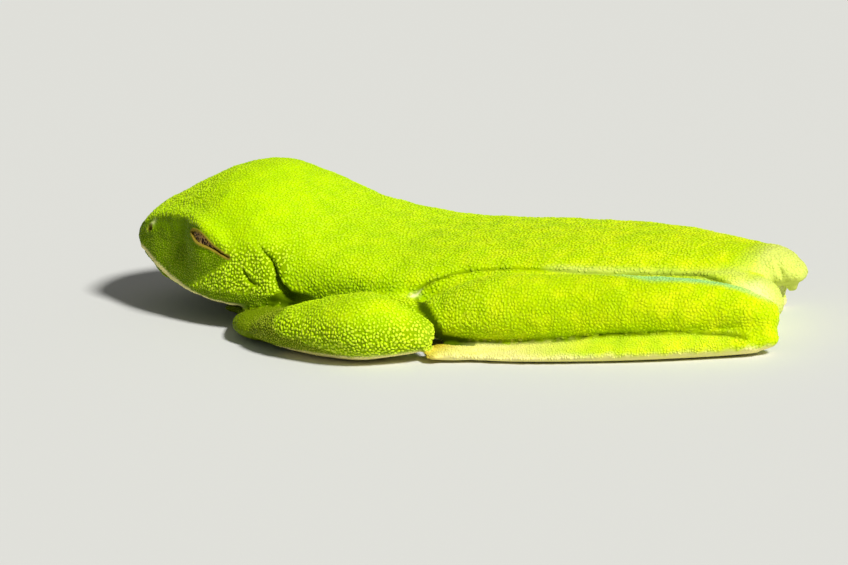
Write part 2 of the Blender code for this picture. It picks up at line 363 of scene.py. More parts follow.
def body_form(share, angle):
    """Head and trunk: squarish sections on the stations of BODY."""
    spread = 0.5 * (1.0 - math.cos(math.pi * share))
    along, half_width, top, under, widest = between(BODY, 0.45 * share + 0.55 * spread)
    closing = math.sqrt(max(0.0, 1.0 - (2.0 * share - 1.0) ** 20))
    across = boxy(math.cos(angle), BODY_BOXINESS)
    rise = boxy(math.sin(angle), BODY_BOXINESS)
    middle = 0.5 * (top + under)
    seam = middle + closing * (widest - middle)
    height = (top - widest) if rise > 0 else (widest - under)
    return (
        along,
        closing * (half_width - COAT) * across,
        seam + closing * (height - COAT) * rise,
    )


def tube_form(rows, side):
    """A limb along rows, with round ends."""

    def form(share, angle):
        spread = 0.5 * (1.0 - math.cos(math.pi * share))
        row = between(rows, spread)
        behind, ahead = between(rows, spread - 0.01), between(rows, spread + 0.01)
        along = (Vector(ahead[:3]) - Vector(behind[:3])).normalized()
        across = along.cross(Vector((0, 0, 1))).normalized()
        rise = across.cross(along)
        closing = math.sqrt(max(0.0, math.sin(math.pi * share)))
        end = math.copysign(abs(2.0 * spread - 1.0) ** 8, spread - 0.5)
        centre = Vector(row[:3]) + along * end * (0.6 * row[3] - COAT)
        edge = across * math.cos(angle) * (row[3] - COAT) + rise * math.sin(angle) * (row[4] - COAT)
        return on_side(centre + closing * edge, side)

    return form


def ball_form(centre, radius, side):
    def form(share, angle):
        around = math.sin(math.pi * share)
        offset = Vector((math.cos(math.pi * share), around * math.cos(angle), around * math.sin(angle)))
        return on_side(Vector(centre) + radius * offset, side)

    return form


def posed(rows, side_name):
    """The rows of a limb as it lies on that side."""
    forward, kept, down = POSE[side_name]
    return [(row[0] - forward, row[1] * kept, row[2] - down, *row[3:]) for row in rows]


def digit_rows(root, tip, up):
    """A finger or toe: even along its length, then a round flat disc at the tip."""
    root, tip = Vector((*root, up)), Vector((*tip, up))
    slim = (DIGIT_HALF_WIDTH, DIGIT_HALF_HEIGHT)
    reach = (tip - root).normalized() * DISC_HALF_WIDTH
    return [
        (*root, *slim),
        (*root.lerp(tip, 0.35), *slim),
        (*root.lerp(tip, 0.72), 0.9 * slim[0], 0.9 * slim[1]),
        (*(tip - reach), DISC_HALF_WIDTH, DISC_HALF_HEIGHT),
        (*(tip - 0.35 * reach), 0.86 * DISC_HALF_WIDTH, DISC_HALF_HEIGHT),
    ]


def mesh_of(bm, name):
    """What has been modelled, as a named mesh."""
    mesh = bpy.data.meshes.new(name)
    bm.to_mesh(mesh)
    bm.free()
    return mesh


class Clay:
    """The forms that the skin is drawn over. It remembers which part each of its points is of."""

    def __init__(self):
        self.mass = bmesh.new()
        self.points, self.parts = [], []

    def add(self, part, rings, sides, form):
        """A closed form: a globe whose points go to form(share of the way from pole to pole, angle)."""
        bm = bmesh.new()
        bmesh.ops.create_uvsphere(bm, u_segments=sides, v_segments=rings, radius=1.0)
        for vert in bm.verts:
            share = math.acos(min(max(vert.co.z, -1.0), 1.0)) / math.pi
            angle = math.atan2(vert.co.y, vert.co.x)
            vert.co = form(share, angle)
            self.points.append(vert.co.copy())
            self.parts.append(part)
        if bm.calc_volume(signed=True) < 0:
            bmesh.ops.reverse_faces(bm, faces=bm.faces)
        mesh = mesh_of(bm, "form")
        self.mass.from_mesh(mesh)
        bpy.data.meshes.remove(mesh)


PARTS = (
    "body", "mound", "flap",
    "upper_arm", "forearm", "palm", "finger", "thigh", "shank", "sole", "toe",
)


def model_clay():
    clay = Clay()
    clay.add("body", 150, 112, body_form)
    clay.add("flap", 24, 36, tube_form(VENT_FLAP, 1.0))
    for name, side in SIDES.items():
        clay.add("mound", 28, 40, ball_form(EYE, EYE_RADIUS + LID, side))
        for part, rows, rings, sides in (
            ("upper_arm", UPPER_ARM, 24, 30),
            ("forearm", FOREARM, 40, 40),
            ("palm", PALM, 24, 32),
            ("thigh", THIGH, 36, 36),
            ("shank", SHANK, 56, 44),
            ("sole", SOLE, 44, 32),
        ):
            clay.add(part, rings, sides, tube_form(posed(rows, name), side))
        for part, digits in (("finger", FINGERS), ("toe", TOES)):
            for n, (root, tip) in enumerate(digits):
                rows = digit_rows(root, tip, DIGIT_UP + n * DIGIT_STEP + POSE[name][2])
                clay.add(part, 22, 16, tube_form(posed(rows, name), side))
    return clay


def finish_modifier(obj):
    """Makes an object's live modifiers part of its mesh."""
    graph = bpy.context.evaluated_depsgraph_get()
    old = obj.data
    obj.data = bpy.data.meshes.new_from_object(obj.evaluated_get(graph))
    obj.modifiers.clear()
    bpy.data.meshes.remove(old)


def new_object(name, mesh):
    obj = bpy.data.objects.new(name, mesh)
    bpy.context.scene.collection.objects.link(obj)
    return obj


def draw_skin(clay):
    """One even skin over all the forms, with the hollows where they meet eased."""
    skin = new_object("skin", mesh_of(clay.mass, "skin"))
    remesh = skin.modifiers.new("one skin", "REMESH")
    remesh.mode = "VOXEL"
    remesh.voxel_size = CLAY_GRAIN
    remesh.use_smooth_shade = True
    ease = skin.modifiers.new("ease", "SMOOTH")
    ease.factor, ease.iterations = 0.5, 4
    finish_modifier(skin)
    return skin


def smooth(value, low, high):
    """0 below low, 1 above high, eased between. Works on arrays, and downwards if low is above high."""
    t = np.clip((value - low) / (high - low), 0.0, 1.0)
    return t * t * (3.0 - 2.0 * t)


def bell(value, width):
    """1 where the value is 0, falling off softly on both sides of that."""
    return np.exp(-((value / width) ** 2))


def line_points(rows):
    """Rows evenly spaced along the smooth curve through a table, as an array."""
    fine = np.array([between(rows, i / 240) for i in range(241)])
    run = np.append(0.0, np.cumsum(np.linalg.norm(np.diff(fine[:, :3], axis=0), axis=1)))
    places = np.linspace(0.0, run[-1], 2 + int(run[-1] / 0.001))
    return np.column_stack([np.interp(places, run, column) for column in fine.T])


def tree_of(points):
    """The points in a form that finds the nearest of them quickly."""
    tree = kdtree.KDTree(len(points))
    for n, point in enumerate(points):
        tree.insert(point, n)
    tree.balance()
    return tree


def read_all(items, name, width=3, kind=np.float32):
    """What each point or corner of a mesh holds under a name, as the rows of an array."""
    values = np.empty(len(items) * width, kind)
    items.foreach_get(name, values)
    return values.reshape(-1, width)


def write_layer(mesh, name, values):
    """Gives each point of a mesh its value under a name, for materials and granules to read."""
    layer = mesh.attributes.new(name, "FLOAT", "POINT")
    layer.data.foreach_set("value", values.astype(np.float32))


class Modelling:
    """The skin's points as arrays, in shares of SNOUT_VENT, while folds and colours are put on them."""

    def __init__(self, obj, clay):
        self.obj = obj
        self.at = read_all(obj.data.vertices, "co").astype(float)
        self.find_normals()
        self.layers = {}
        tree = tree_of(clay.points)
        nearest = [tree.find(point)[1] for point in self.at]
        self.part = np.array([PARTS.index(clay.parts[n]) for n in nearest])

    def find_normals(self):
        mesh = self.obj.data
        mesh.vertices.foreach_set("co", self.at.astype(np.float32).ravel())
        mesh.update()
        self.normal = read_all(mesh.vertex_normals, "vector").astype(float)

    def layer(self, name):
        """A layer's values, 0 everywhere until something is put on it."""
        return self.layers.setdefault(name, np.zeros(len(self.at)))

    def is_part(self, *names):
        return np.isin(self.part, [PARTS.index(name) for name in names])

    def near_line(self, rows, side):
        """For the points close to a line: their numbers, distance from it, and its row beside them."""
        line = line_points(rows)
        line[:, 1] *= side
        reach = 3.2 * float(np.abs(line[:, 3]).max())
        low, high = line[:, :3].min(0) - reach, line[:, :3].max(0) + reach
        chosen = np.flatnonzero(((self.at > low) & (self.at < high)).all(1))
        tree = tree_of(line[:, :3])
        found = [tree.find(point) for point in self.at[chosen]]
        return chosen, np.array([spot[2] for spot in found]), line[[spot[1] for spot in found]]

    def on_skin(self, rows, on_leg=False):
        """The rows of a line, for both sides in turn, with their places moved on to the skin."""
        graph = bpy.context.evaluated_depsgraph_get()
        for name, side in SIDES.items():
            moved = []
            for row in posed(rows, name) if on_leg else rows:
                start = Vector(on_side(row, side))
                spot = self.obj.closest_point_on_mesh(start, depsgraph=graph)[1]
                moved.append((*on_side(spot, side), *row[3:]))
            yield moved, side

    def press(self, rows, on_leg=False):
        """Presses a line into the skin on both sides, or raises it where its depth is below 0."""
        shift = np.zeros(len(self.at))
        for moved, side in self.on_skin(rows, on_leg):
            chosen, apart, row = self.near_line(moved, side)
            shift[chosen] -= row[:, 4] * bell(apart, row[:, 3])
        self.at += self.normal * shift[:, None]
        self.find_normals()

    def paint(self, layer, rows, hard=False, on_leg=False):
        """Adds to a layer along a line, as strong as the line's last column says."""
        value = self.layer(layer)
        for moved, side in self.on_skin(rows, on_leg):
            chosen, apart, row = self.near_line(moved, side)
            width = row[:, 3]
            spread = smooth(apart, 1.35 * width, 0.75 * width) if hard else bell(apart, width)
            value[chosen] = np.maximum(value[chosen], row[:, 4] * spread)


def refine(obj, lines):
    """Finer faces beside the lines: each is rows, the reach from it, and how often faces are halved."""
    for turn in range(max(times for *_, times in lines)):
        bm = bmesh.new()
        bm.from_mesh(obj.data)
        at = np.array([vert.co for vert in bm.verts])
        close = np.zeros(len(at), bool)
        for rows, reach, times in lines:
            if times <= turn:
                continue
            line = line_points(rows)[:, :3]
            tree = tree_of(line)
            within = reach * (1.0 if turn else 1.35)
            folded = np.column_stack([at[:, 0], np.abs(at[:, 1]), at[:, 2]])
            beside = (folded > line.min(0) - within) & (folded < line.max(0) + within)
            chosen = np.flatnonzero(beside.all(1))
            close[[n for n in chosen if tree.find(folded[n])[2] < within]] = True
        bm.verts.ensure_lookup_table()
        edges = [edge for edge in bm.edges if close[edge.verts[0].index] and close[edge.verts[1].index]]
        bmesh.ops.subdivide_edges(bm, edges=edges, cuts=1, use_grid_fill=True)
        bmesh.ops.triangulate(bm, faces=[face for face in bm.faces if len(face.verts) > 4])
        bm.to_mesh(obj.data)
        bm.free()


def swell_over_eyes(model):
    """Keeps the lids clear of the membrane under them."""
    for side in SIDES.values():
        centre = np.array(on_side(EYE, side))
        outward = model.at - centre
        length = np.linalg.norm(outward, axis=1)
        facing = np.array(on_side(EYE_FACING, side))
        angle = np.degrees(np.arccos(np.clip(outward @ facing / length, -1, 1)))
        ease = 0.0012
        short = ease * np.logaddexp(0.0, (EYE_SKIN + LID_CLEAR - length) / ease)
        grown = length + short * smooth(angle, 66, 52)
        model.at = centre + outward * (grown / length)[:, None]
    model.find_normals()


JOIN_PASSES = 26  # how often the points of a join are drawn towards their neighbours


def ease_joins(obj):
    """Melts the mounds over the eyes into the head, the soles into the heels, the thighs into the rump."""
    bm = bmesh.new()
    bm.from_mesh(obj.data)
    for name, side in SIDES.items():
        heel, buttock = posed([(0.966, 0.122, 0.036), (0.935, 0.070, 0.086)], name)
        mound = (EYE[0], EYE[1] + 0.03, EYE[2] + 0.01)
        for place, reach in ((mound, 0.064), (heel, 0.032), (buttock, 0.046)):
            centre = Vector(on_side(place, side))
            close = [vert for vert in bm.verts if (vert.co - centre).length < reach]
            for _ in range(JOIN_PASSES):
                bmesh.ops.smooth_vert(
                    bm, verts=close, factor=0.5, use_axis_x=True, use_axis_y=True, use_axis_z=True
                )
    bm.to_mesh(obj.data)
    bm.free()


def wrinkle(model):
    """The unevenness of living skin: soft lumps of about 2 mm and 0.8 mm."""
    lumps = np.array([
        0.0016 * noise.noise(Vector(point) * 30.0) + 0.0009 * noise.noise(Vector(point) * 78.0)
        for point in model.at
    ])
    along, out, up = model.at[:, 0], np.abs(model.at[:, 1]), model.at[:, 2]
    calm = smooth(up, 0.010, 0.030)
    model.at += model.normal * (lumps * calm)[:, None]
    model.find_normals()


def open_lids(model):
    """Parts the lids a little over each eye, and raises their rims."""
    rim, gap = model.layer("lid_rim"), model.layer("eye_gap")
    rows = [(*row[:3], row[3] + LID_RIM, row[3]) for row in LID_LINE]
    for moved, side in model.on_skin(rows):
        chosen, apart, row = model.near_line(moved, side)
        half = row[:, 4]
        inside = smooth(apart, half + 0.0008, half - 0.0006)
        edge = bell(apart - half - 0.0022, 0.0018)
        centre = np.array(on_side(EYE, side))
        outward = model.at[chosen] - centre
        length = np.linalg.norm(outward, axis=1)
        outward /= length[:, None]
        lifted = length + 0.0016 * edge * smooth(half, 0.0002, 0.0012)
        depth = lifted + (np.minimum(EYE_SKIN - LID_CLEAR, lifted) - lifted) * inside
        model.at[chosen] = centre + outward * depth[:, None]
        above = (model.at[chosen, 2] - row[:, 2]) + 0.8 * (model.at[chosen, 0] - row[:, 0])
        width = LID_RIM * (1.0 + 0.3 * smooth(above, -0.001, 0.002))
        rim[chosen] = np.maximum(rim[chosen], smooth(apart, half + width, half + 0.6 * width))
        gap[chosen] = np.maximum(gap[chosen], inside)
    model.find_normals()


def bore_nostrils(model):
    """A pit with a low brim round it, and above it a painted highlight: pale paint on the bump that
    catches the light.
    """
    dark, pale = model.layer("nostril"), model.layer("pale_skin")
    for moved, side in model.on_skin([NOSTRIL]):
        spot = np.array(on_side(moved[0], side))
        apart = np.linalg.norm((model.at - spot) * (0.8, 1.0, 1.25), axis=1)
        pit = 0.0062 * bell(apart, 0.0034) - 0.0024 * bell(apart - 0.0068, 0.0032)
        model.at -= model.normal * pit[:, None]
        dark += bell(apart, 0.0048)
        # The painted highlight on the bump above the nostril.
        above = np.linalg.norm(model.at - (spot + (0.003, 0.0, 0.009)), axis=1)
        pale += 0.6 * bell(above, 0.0050)
    model.find_normals()


def sink_eardrums(model):
    """A shallow dish behind each eye, with a low brim round it."""
    for moved, side in model.on_skin([EARDRUM]):
        spot = np.array(on_side(moved[0], side))
        apart = np.linalg.norm(model.at - spot, axis=1)
        dish = 0.0010 * smooth(apart, EARDRUM_RADIUS, 0.8 * EARDRUM_RADIUS)
        brim = -0.0006 * bell(apart - 1.18 * EARDRUM_RADIUS, 0.004)
        model.at -= model.normal * (dish + brim)[:, None]
    model.find_normals()


def colour_skin(model):
    """Where each colour of the skin is, 0 to 1, and how rough with granules it is."""
    along, out, up = model.at[:, 0], np.abs(model.at[:, 1]), model.at[:, 2]
    facing_up = model.normal[:, 2]
    layers = model.layers
    wander = np.array([noise.noise(Vector(point) * 60.0) for point in model.at]) * 0.004
    body = model.is_part("body", "mound", "flap")
    hand = model.is_part("palm", "finger")
    arm = model.is_part("forearm", "upper_arm")
    leg = model.is_part("shank", "thigh")
    on_limb = along + np.where(model.at[:, 1] > 0, POSE["right"][0], 0.0)
    heel = smooth(on_limb, 0.925, 0.950)
    foot = model.is_part("sole", "toe") * (1 - heel)

    # The smooth face, in a darker green that is partly its own colour and partly painted shade, as the face
    # turns away from the lamp.
    edge = np.interp(
        along,
        (0.0, 0.037, 0.055, 0.078, 0.10, 0.126, 0.159, 0.18, 0.19, 0.20, 0.215, 0.24),
        (0.112, 0.118, 0.127, 0.132, 0.137, 0.138, 0.136, 0.127, 0.115, 0.106, 0.098, 0.080),
    )
    cheek_front = 0.150 + 1.76 * (up - 0.0575)
    in_front = smooth(along + wander, cheek_front + 0.010, cheek_front - 0.004)
    low = smooth(up + wander, 0.056, 0.050)
    face = body * smooth(along, 0.300, 0.285) * smooth(up + 0.6 * wander, edge + 0.001, edge - 0.003)
    layers["face"] = face * np.maximum(in_front, low)
    # Painted shade on the underside of the head: darker green wherever the throat faces down.
    chin = body * smooth(along, 0.36, 0.30) * smooth(facing_up, -0.30, -0.60)

    arm_line = np.interp(
        on_limb,
        (0.27, 0.31, 0.385, 0.42, 0.466, 0.50, 0.56),
        (0.050, 0.038, 0.033, 0.026, 0.016, 0.010, 0.004),
    )
    bare_arm = arm * np.maximum(
        smooth(up + wander, arm_line + 0.001, arm_line - 0.004), smooth(on_limb + 2 * wander, 0.352, 0.334)
    )
    limb = np.clip(leg + arm, 0, 1)
    underside = smooth(facing_up, -0.25, -0.55) * (1 - limb) + smooth(facing_up, -0.70, -0.92) * limb
    rear = body * smooth(along, 0.915, 0.945)
    buttock = model.is_part("thigh") * smooth(on_limb + wander, 0.925, 0.945)
    grain = (1 - layers["face"]) * (1 - hand) * (1 - foot) * (1 - bare_arm) * (1 - underside)
    fine_lines = ("lid_rim", "eye_gap", "lip_line", "nostril", "crease", "bare_line", "pale_skin")
    lines = np.clip(sum(smooth(layers[name], 0.25, 0.75) for name in fine_lines), 0, 1)
    grain *= 1 - lines
    layers["grain"] = np.clip(grain * smooth(up, 0.006, 0.012), 0, 1)
    smooth_skin = np.clip(layers["face"] + hand + foot + bare_arm, 0, 1)
    layers["fine_grain"] = smooth_skin * (1 - lines) * (1 - underside) * smooth(up, 0.004, 0.008)

    knee = leg * smooth(on_limb, 0.68, 0.58)
    cheek = body * smooth(along, 0.315, 0.29) * smooth(up, 0.125, 0.095)
    snout = body * smooth(along, 0.20, 0.12)
    low_arm = arm * (0.3 + 0.7 * smooth(up, 0.068, 0.045))
    trunk = body * smooth(along, 0.22, 0.32) * smooth(along, 0.95, 0.85)
    tall = np.clip(cheek + 0.3 * knee + low_arm + 0.4 * snout + 0.05 * leg + 0.22 * trunk, 0, 1)
    smoother = 0.34 * layers["face"] - 0.30 * foot - 0.10 * hand + 0.12 * (rear + buttock)
    layers["granule_height"] = 0.42 + 0.58 * tall - np.clip(smoother, -0.3, 0.34)

    layers["yellow"] = 0.75 * smooth(along, 0.25, 0.95)
    elbow = arm * smooth(on_limb, 0.545, 0.575)
    over_vent = 0.6 * body * smooth(along, 0.89, 0.93)
    layers["rump"] = np.clip(rear + buttock + over_vent + layers["pale_seam"] + 0.4 * elbow, 0, 1)
    belly = body * smooth(along, 0.33, 0.38) * smooth(up + wander, 0.014, 0.006) * (1 - rear)
    lip = layers["lip_line"] * smooth(along, 0.245, 0.210)
    sole = foot * smooth(up + wander, 0.016, 0.008) * 0.8
    under_heel = model.is_part("sole") * heel * smooth(up + wander, 0.018, 0.010)
    under_limb = underside * (up < 0.02) * limb + arm * smooth(up + wander, 0.015, 0.008)
    under_limb = under_limb * smooth(on_limb, 0.33, 0.36)
    layers["cream"] = np.clip(belly + lip + sole + under_limb + under_heel, 0, 1)
    layers["foot"] = foot * (1 - 0.95 * smooth(on_limb, 0.64, 0.78))
    # The hands and the bare lower band of the forearm, in a darker green that is partly painted shade.
    layers["hand"] = np.clip(hand + bare_arm, 0, 1)
    layers["chin"] = chin
    fingertip = model.is_part("finger") * smooth(out, 0.055, 0.040)
    toe_tip = model.is_part("toe") * smooth(on_limb, 0.590, 0.545)
    layers["digit"] = np.clip(fingertip + toe_tip, 0, 1)


def shade_of(rows, wider, strongest, full_depth):
    """The paint along a pressed line: wider than it, and as strong as it is deep. It carries the
    painted shade in folds and the pale colour of the lip.
    """
    return [(*row[:3], wider * row[3], min(strongest, row[4] / full_depth)) for row in rows]


def model_skin():
    clay = model_clay()
    skin = draw_skin(clay)
    ease_joins(skin)
    refine(skin, (
        (LID_LINE, 0.018, 2),
        ([NOSTRIL] * 2, 0.014, 2),
        (LIP, 0.010, 1),
        (EARDRUM_EDGE, 0.010, 1),
        (CHEEK_FOLD, 0.014, 1),
        (LEG_SEAM, 0.008, 1),
    ))
    model = Modelling(skin, clay)
    model.press(SNOUT_EDGE)
    model.press(CHEEK_HOLLOW)
    swell_over_eyes(model)
    wrinkle(model)
    sink_eardrums(model)
    model.press(CHEEK_FOLD_BROW)
    # Painted shade in the folds, in the corners behind the jaw and between elbow and knee, and along the
    # groove over the foot.
    model.paint("crease", shade_of(CHEEK_FOLD, 0.9, 1.0, 0.006))
    model.paint("crease", shade_of(EARDRUM_EDGE, 0.8, 0.8, 0.006))
    model.paint("crease", shade_of(LEG_SEAM, 1.2, 0.95, 0.005), on_leg=True)
    model.paint("crease", JAW_CORNER_SHADE, hard=True)
    model.paint("crease", KNEE_CORNER_SHADE, hard=True, on_leg=True)
    model.paint("crease", FOOT_CREASE, on_leg=True)
    model.paint("bare_line", [(*row[:3], 0.0024, 1.0) for row in LEG_SEAM[4:]], hard=True, on_leg=True)
    model.press(CHEEK_FOLD)
    model.press(EARDRUM_EDGE)
    model.press(LEG_SEAM, on_leg=True)
    model.press([(*row[:4], 0.0024 * row[4]) for row in FOOT_CREASE], on_leg=True)
    model.press(VENT_CREASE)
    model.press(VENT_TIP)
    model.paint("lip_line", shade_of(LIP, 1.25, 1.0, -0.0014), hard=True)
    model.press(LIP)
    model.press([(*row[:2], row[2] - MOUTH_BELOW_LIP, MOUTH_WIDTH, MOUTH_DEPTH) for row in LIP])
    bore_nostrils(model)
    open_lids(model)
    model.paint("blue_seam", BLUE_SEAM, hard=True, on_leg=True)
    model.paint("pale_seam", PALE_SEAM, on_leg=True)
    for rows in PALE_SKIN:
        model.paint("pale_skin", rows, on_leg=True)
    model.at[:, 2] = np.maximum(model.at[:, 2], 0.0)
    model.find_normals()
    colour_skin(model)
    for name, values in model.layers.items():
        write_layer(skin.data, name, np.clip(values, 0, 1))
    skin.data.shade_smooth()
    return skin, model


skin, model = model_skin()


def linear(hex_colour):
    """An sRGB hex colour as linear RGBA."""
    values = [int(hex_colour[i : i + 2], 16) / 255 for i in (1, 3, 5)]
    return (*(v / 12.92 if v <= 0.04045 else ((v + 0.055) / 1.055) ** 2.4 for v in values), 1.0)


def add(tree, kind, inputs=(), **settings):
    """Adds a node with its settings. An input takes a value, a hex colour, or a socket to link."""
    node = tree.nodes.new(kind)
    for name, value in settings.items():
        setattr(node, name, value)
    for name, value in dict(inputs).items():
        if isinstance(value, bpy.types.NodeSocket):
            tree.links.new(value, node.inputs[name])
        else:
            is_colour = isinstance(value, str) and value.startswith("#")
            node.inputs[name].default_value = linear(value) if is_colour else value
    return node


def new_material(name, **sockets):
    """A material with constant values on its shader's own sockets."""
    material = bpy.data.materials.new(name)
    material.use_nodes = True
    shader = material.node_tree.nodes["Principled BSDF"]
    for socket, value in sockets.items():
        shader.inputs[socket.replace("_", " ")].default_value = value
    return material, material.node_tree, shader


def lay_colours(tree, colour, coats):
    """Coats of colour over one another: each a colour, and how strong or the layer that says so."""
    for over, amount in coats:
        if isinstance(amount, str):
            amount = add(tree, "ShaderNodeAttribute", attribute_name=amount).outputs["Fac"]
        colour = add(tree, "ShaderNodeMix", {0: amount, 6: colour, 7: over}, data_type="RGBA").outputs[2]
    return colour


# The layers of colour over the green, from the first laid to the last. The darker greens of the
# face and hands are partly their own colour and partly painted shade; the darkest greens, on the
# throat and in folds and corners, are painted shade; the pale cream above the nostrils is a
# painted highlight.
SKIN_LAYERS = (
    ("#6c8e00", "face"),
    ("#eee878", "foot"),
    ("#6e8604", "hand"),
    ("#4e6204", "chin"),
    ("#d2de62", "rump"),
    ("#a2e082", "blue_seam"),
    ("#f2e89a", "cream"),
    ("#f2f2a6", "pale_skin"),
    ("#cdb42c", "digit"),
    ("#4c6202", "crease"),
    ("#8e7e28", "lid_rim"),
    ("#8a5f3a", "nostril"),
)


def moist_skin(name, roughness, depth, tint, gloss):
    """Moist living skin. Light sinks in to a small depth and comes back yellowish, and the shine is
    green and low: gloss[0] on the smooth parts, gloss[1] on the granular ones. Gives the material,
    and what the two kinds of it go on from.
    """
    material, tree, shader = new_material(
        name, Roughness=roughness, Subsurface_Weight=0.12, Subsurface_Scale=depth,
        Subsurface_Radius=(1.0, 0.9, 0.2), Specular_Tint=linear(tint),
    )
    yellow, grain, rump, height = (
        add(tree, "ShaderNodeAttribute", attribute_name=layer).outputs["Fac"]
        for layer in ("yellow", "grain", "rump", "granule_height")
    )
    level = add(tree, "ShaderNodeMapRange", {"Value": grain, "To Min": gloss[0], "To Max": gloss[1]})
    tree.links.new(level.outputs["Result"], shader.inputs["Specular IOR Level"])
    place = add(tree, "ShaderNodeTexCoord").outputs["Object"]
    patches = {"Vector": place, "Scale": 560.0, "Detail": 4.0}  # 1.8 mm across
    patch = add(tree, "ShaderNodeTexNoise", patches).outputs["Fac"]
    fresh, sunny = (
        add(tree, "ShaderNodeMapRange", {"Value": patch, "From Min": start, "From Max": end, "To Max": 0.5})
        for start, end in ((0.35, 0.65), (0.50, 0.36))
    )
    sunny = add(tree, "ShaderNodeMath", {0: sunny.outputs["Result"], 1: yellow}, operation="MULTIPLY")
    colour = lay_colours(tree, "#bfe400", (
        ("#d8e802", yellow),
        ("#9ccc02", fresh.outputs["Result"]),
        ("#e8f018", sunny.outputs[0]),
        *SKIN_LAYERS,
    ))
    green = add(tree, "ShaderNodeMath", {0: grain, 1: rump}, operation="SUBTRACT", use_clamp=True)
    return material, {"place": place, "colour": colour, "green": green.outputs[0], "height": height}


def make_skin_material():
    """The frog's bare skin, with painted shade: darker green in the grooves between the granules."""
    material, base = moist_skin("frog_skin_moist", 0.6, 0.0003, "#dcff50", (0.04, 0.12))
    tree = material.node_tree
    # Painted shade between the granules, darker where they stand taller.
    deep = add(
        tree, "ShaderNodeMapRange",
        {"Value": base["height"], "From Min": 0.5, "From Max": 1.0, "To Min": 0.08, "To Max": 0.85},
    )
    groove = {0: base["green"], 1: deep.outputs["Result"]}
    dark = add(tree, "ShaderNodeMath", groove, operation="MULTIPLY").outputs[0]
    shader = tree.nodes["Principled BSDF"]
    tree.links.new(lay_colours(tree, base["colour"], [("#7e9c00", dark)]), shader.inputs["Base Color"])
    pores = {"Vector": base["place"], "Scale": 2600.0, "Detail": 4.0}  # 0.4 mm apart
    pitted = add(tree, "ShaderNodeTexNoise", pores).outputs["Fac"]
    bump = add(tree, "ShaderNodeBump", {"Height": pitted, "Strength": 0.4, "Distance": 0.00012})
    tree.links.new(bump.outputs["Normal"], shader.inputs["Normal"])
    return material


def make_granule_material():
    """The same skin on the granules, with painted shade at their feet and a painted highlight, paler
    and yellower, at their tips.
    """
    material, base = moist_skin("frog_skin_granules", 0.45, 0.0002, "#e6ff50", (0.06, 0.3))
    tree = material.node_tree
    on_granule = add(tree, "ShaderNodeAttribute", attribute_name="on_granule").outputs["Vector"]
    rise = add(tree, "ShaderNodeSeparateXYZ", {"Vector": on_granule}).outputs["Z"]
    tone = add(tree, "ShaderNodeAttribute", attribute_name="tone").outputs["Fac"]
    foot, tip, tall, tone = (
        add(
            tree, "ShaderNodeMapRange",
            {"Value": value, "From Min": start, "From Max": end, "To Min": least, "To Max": most},
        ).outputs["Result"]
        for value, start, end, least, most in (
            (rise, 0.3, 0.05, 0.0, 0.28),
            (rise, 0.3, 0.6, 0.0, 1.0),
            (base["height"], 0.4, 1.0, 0.05, 0.5),
            (tone, 0.0, 1.0, 0.3, 1.3),
        )
    )
    foot = add(tree, "ShaderNodeMath", {0: foot, 1: base["green"]}, operation="MULTIPLY").outputs[0]
    for factor in (tall, tone):
        tip = add(tree, "ShaderNodeMath", {0: tip, 1: factor}, operation="MULTIPLY", use_clamp=True)
        tip = tip.outputs[0]
    # Painted shade at each granule's foot, and a painted highlight at its tip, stronger on the taller
    # granules.
    colour = lay_colours(tree, base["colour"], [("#8cae00", foot), ("#e8f050", tip)])
    tree.links.new(colour, tree.nodes["Principled BSDF"].inputs["Base Color"])
    return material


def make_eyeball_material():
    """The red iris of the closed eye, wet, behind the membrane."""
    material, tree, shader = new_material("red_eye_wet", Roughness=0.08, IOR=1.38)
    place = add(tree, "ShaderNodeTexCoord").outputs["Object"]
    streaks = {"Vector": place, "Scale": 2600.0, "Detail": 4.0}  # 0.4 mm apart
    threads = add(tree, "ShaderNodeTexNoise", streaks).outputs["Fac"]
    colour = lay_colours(tree, "#5c0d06", [("#a81c0c", threads)])
    tree.links.new(colour, shader.inputs["Base Color"])
    return material


def make_membrane_material():
    """The membrane over the closed eye: brown, with a net of gold threads, moist."""
    material, tree, shader = new_material("eye_membrane_gold_net", Roughness=0.22, IOR=1.38, Coat_Weight=0.2)
    place = add(tree, "ShaderNodeTexCoord").outputs["Object"]
    waves = {"Vector": place, "Scale": 1800.0, "Detail": 2.0}  # 0.6 mm long
    warp = add(tree, "ShaderNodeTexNoise", waves).outputs["Color"]
    bent = add(tree, "ShaderNodeMix", {0: 0.0004, 4: place, 5: warp}, data_type="VECTOR").outputs[1]
    lean = {"Rotation": (0.0, math.radians(24), 0.0), "Scale": (1.0, 1.0, 0.45)}
    drawn = add(tree, "ShaderNodeMapping", {"Vector": bent} | lean).outputs["Vector"]
    meshes = {"Vector": drawn, "Scale": 4400.0}  # 0.23 mm wide and twice as long
    net = add(tree, "ShaderNodeTexVoronoi", meshes, feature="DISTANCE_TO_EDGE").outputs["Distance"]
    gold = {"Value": net, "From Min": 0.13, "From Max": 0.03}
    thread = add(tree, "ShaderNodeMapRange", gold).outputs["Result"]
    colour = lay_colours(tree, "#3a2208", [("#d9b066", thread)])
    tree.links.new(colour, shader.inputs["Base Color"])
    bump = add(tree, "ShaderNodeBump", {"Height": thread, "Strength": 0.5, "Distance": 0.00003})
    tree.links.new(bump.outputs["Normal"], shader.inputs["Normal"])
    return material


UNWRAP = "skin_unwrap"
PATCH = 0.003  # each granule's size on the map OFBake
GRANULE_ROUNDNESS = 0.66  # the height of a granule's dome as a share of its half width
CROWDING = 6.0  # granules tried on each square of the spacing, so that no bare spot is left


